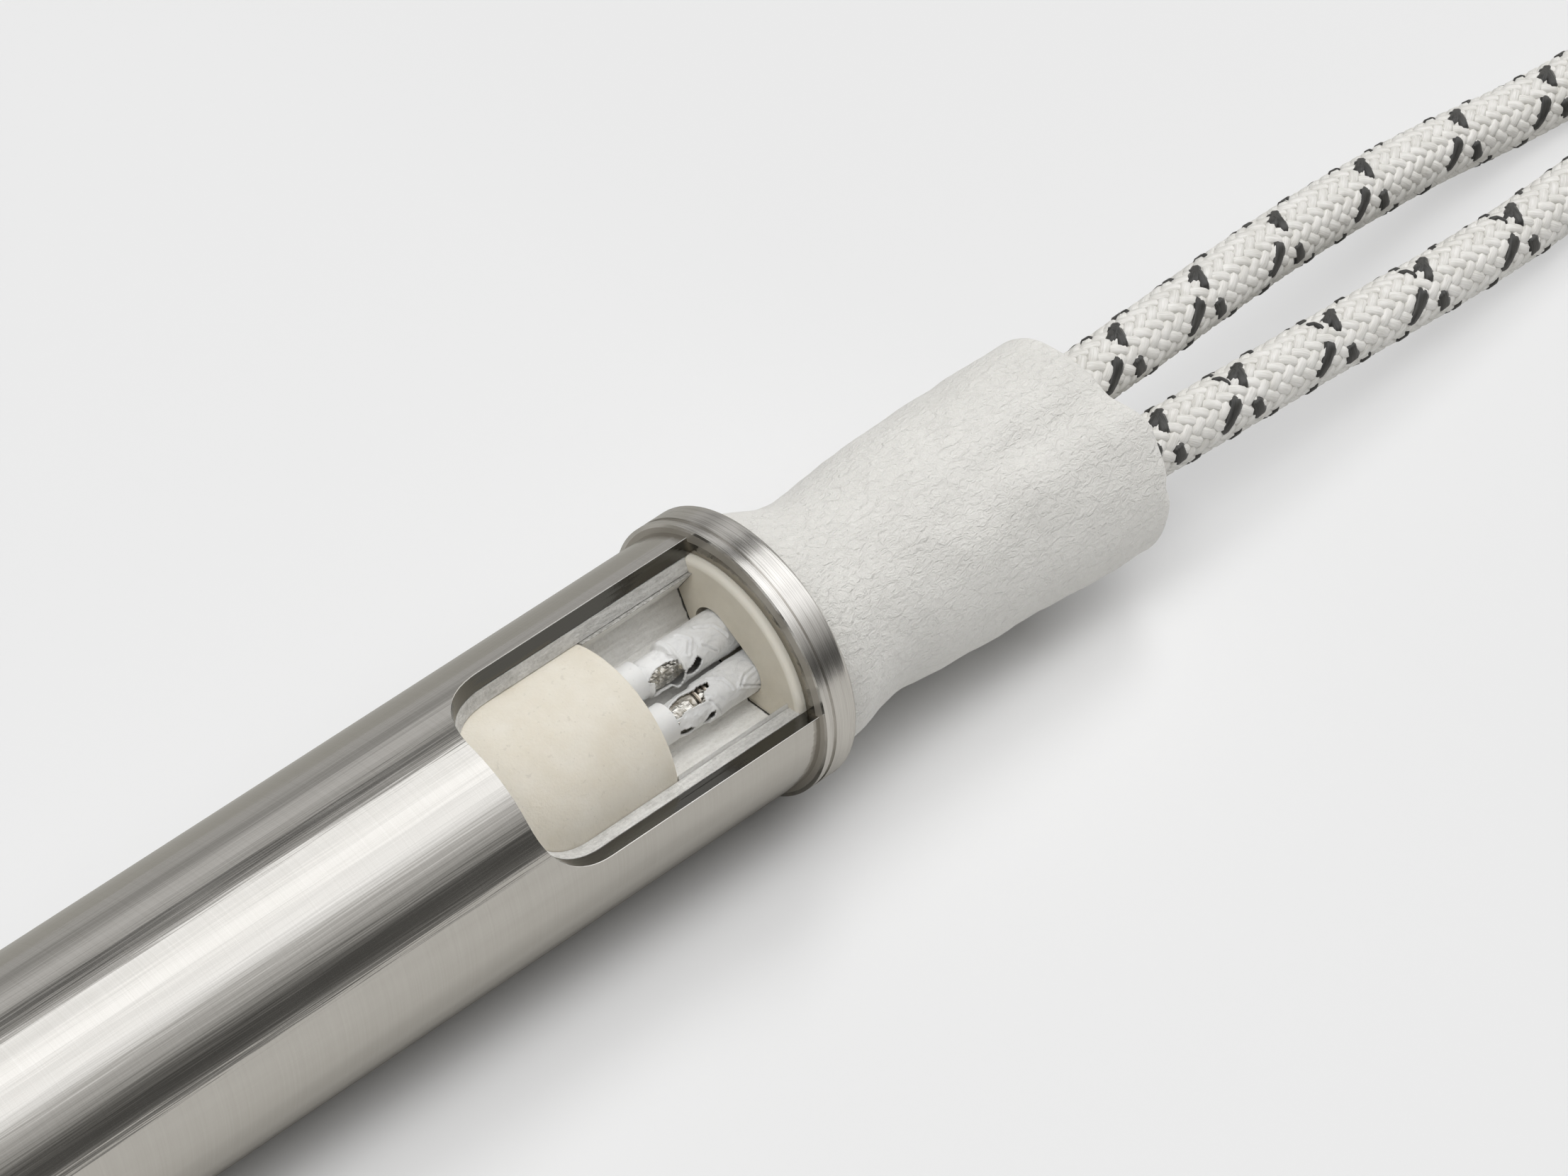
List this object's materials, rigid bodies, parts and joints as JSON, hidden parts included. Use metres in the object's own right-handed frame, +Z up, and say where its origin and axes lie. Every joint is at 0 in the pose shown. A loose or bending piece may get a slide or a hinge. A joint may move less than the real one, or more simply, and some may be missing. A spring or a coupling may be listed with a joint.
{
  "type": "cartridge heater",
  "caption": "Cutaway cartridge heater: steel sheath with a window onto its ceramic core and wire joints, turned collar, soft end sleeve and braided leads.",
  "frame": {"origin": "on the surface that the heater lies on, under the middle of the heater without its leads", "axes": "+X along the heater, from its closed end towards the leads; +Z up"},
  "size_m": [0.2292, 0.0553, 0.0171],
  "materials": {
    "sheath_steel": "brushed round its girth, satin",
    "collar_steel": "turned, fine concentric lines",
    "packed_oxide": "matte, granular where it is cut",
    "core_ceramic": "matte, unglazed, fine grain",
    "washer_ceramic": "matte, unglazed",
    "white_ceramic": "smooth, matte",
    "fibre_packing": "matte fibre",
    "resistance_wire": "drawn wire, dull",
    "pin_metal": "drawn metal, a little tarnished",
    "white_sleeving": "varnished fibre, soft sheen",
    "conductor_strands": "stranded, plated",
    "soft_sleeve": "matte, soft, fine grain",
    "lead_braid": "braided fibre with a dark tracer",
    "tie_band": "matte band"
  },
  "bodies": {
    "root": {"chamber_packing": "fibre_packing", "coil_tie": "tie_band", "collar": "collar_steel", "conductor_1": "conductor_strands", "conductor_2": "conductor_strands", "crimp_1": "pin_metal", "crimp_2": "pin_metal", "end_disc": "sheath_steel", "end_sleeve": "soft_sleeve", "header_core": "core_ceramic", "heating_wire": "resistance_wire", "lead_1": "lead_braid", "lead_2": "lead_braid", "lead_coil": "lead_braid", "lead_tip_1": "conductor_strands", "lead_tip_2": "conductor_strands", "mouth_washer": "washer_ceramic", "oxide_liner": "packed_oxide", "pin_bush_1": "white_ceramic", "pin_bush_2": "white_ceramic", "sheath": "sheath_steel", "terminal_pin_1": "pin_metal", "terminal_pin_2": "pin_metal", "tip_wafer": "core_ceramic", "wire_sleeving_1": "white_sleeving", "wire_sleeving_2": "white_sleeving", "wound_core_1": "core_ceramic", "wound_core_2": "core_ceramic", "wound_core_3": "core_ceramic", "wound_core_4": "core_ceramic"}
  },
  "joints": []
}
